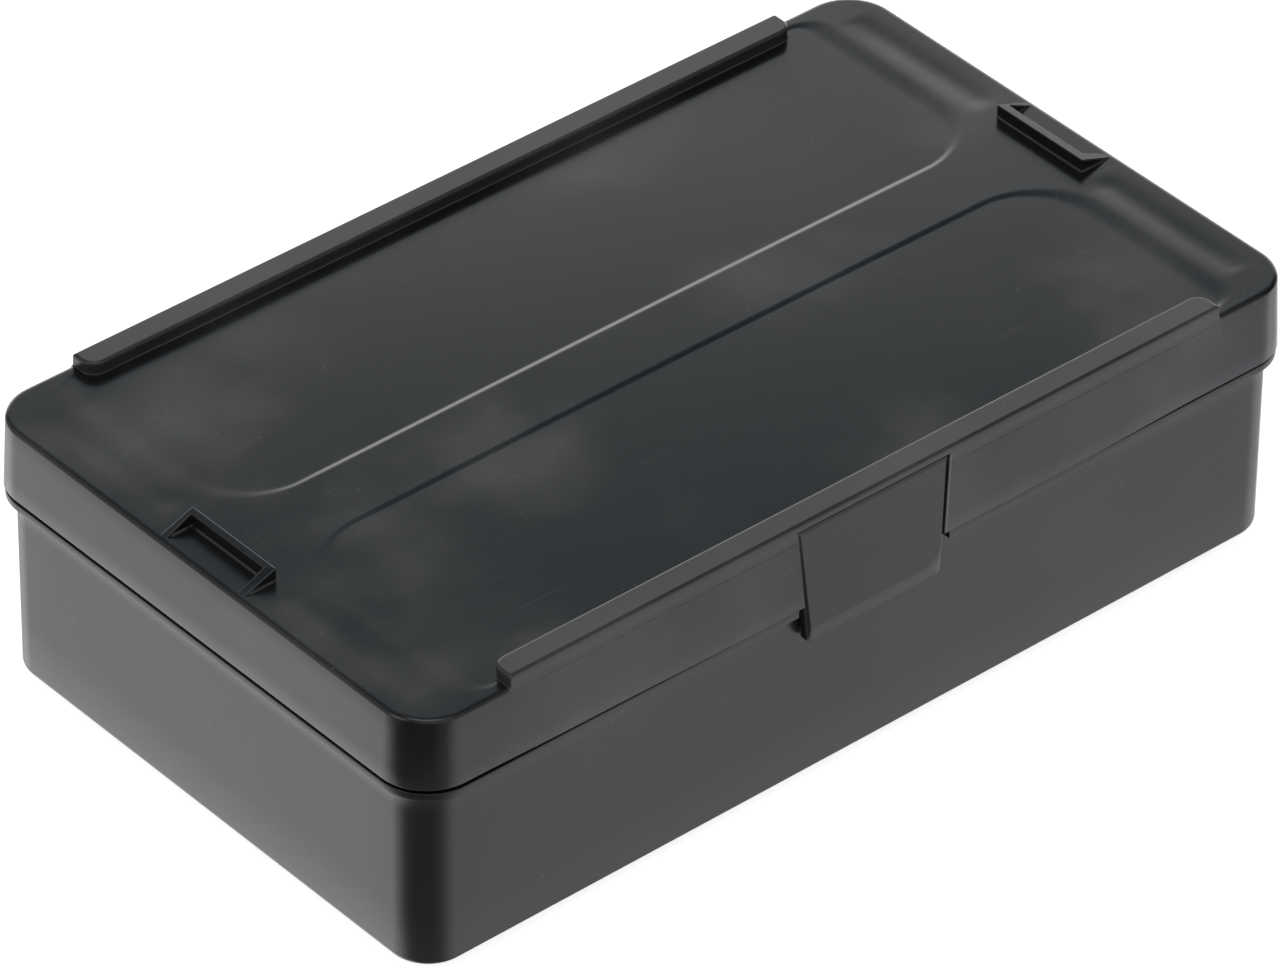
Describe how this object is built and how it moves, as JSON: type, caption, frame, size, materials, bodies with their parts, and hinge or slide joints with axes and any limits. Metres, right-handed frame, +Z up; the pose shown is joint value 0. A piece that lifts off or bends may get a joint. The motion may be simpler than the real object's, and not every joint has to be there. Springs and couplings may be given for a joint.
{
  "type": "toolbox with tray",
  "caption": "Lidded plastic toolbox with a snap latch, pinned rear hinge, stacking rails on the lid, a lift-out tray and loose dividers.",
  "frame": {"origin": "middle of the flat foot that the box stands on", "axes": "+X along the long side, -Y towards the latch, +Z up"},
  "size_m": [0.18, 0.1132, 0.0522],
  "materials": {
    "base_plastic": "black moulded plastic, fine matt texture",
    "lid_plastic": "black moulded plastic, satin with rubbed edges",
    "latch_plastic": "black moulded plastic, satin",
    "tray_plastic": "dark grey moulded plastic, satin",
    "divider_plastic": "dark grey sheet plastic, matt",
    "pin_steel": "bright drawn steel wire"
  },
  "bodies": {
    "base": {"base": "base_plastic", "tray": "tray_plastic", "tray_divider_left": "divider_plastic", "tray_divider_middle": "divider_plastic", "tray_divider_right": "divider_plastic", "base_divider_left": "divider_plastic", "base_divider_right": "divider_plastic", "hinge_pin_left": "pin_steel", "hinge_pin_right": "pin_steel"},
    "lid": {"lid": "lid_plastic"},
    "latch": {"latch": "latch_plastic"}
  },
  "joints": [
    {"name": "lid_hinge", "type": "hinge", "parent": "base", "child": "lid", "pos_m": [0, 0.05605, 0.0366], "axis": [-1, 0, 0], "range_deg": [0, 110]},
    {"name": "latch_flex", "type": "hinge", "parent": "lid", "child": "latch", "pos_m": [0, -0.05075, 0.0493], "axis": [-1, 0, 0], "range_deg": [0, 6], "stiffness_Nm_per_rad": 1.5}
  ]
}
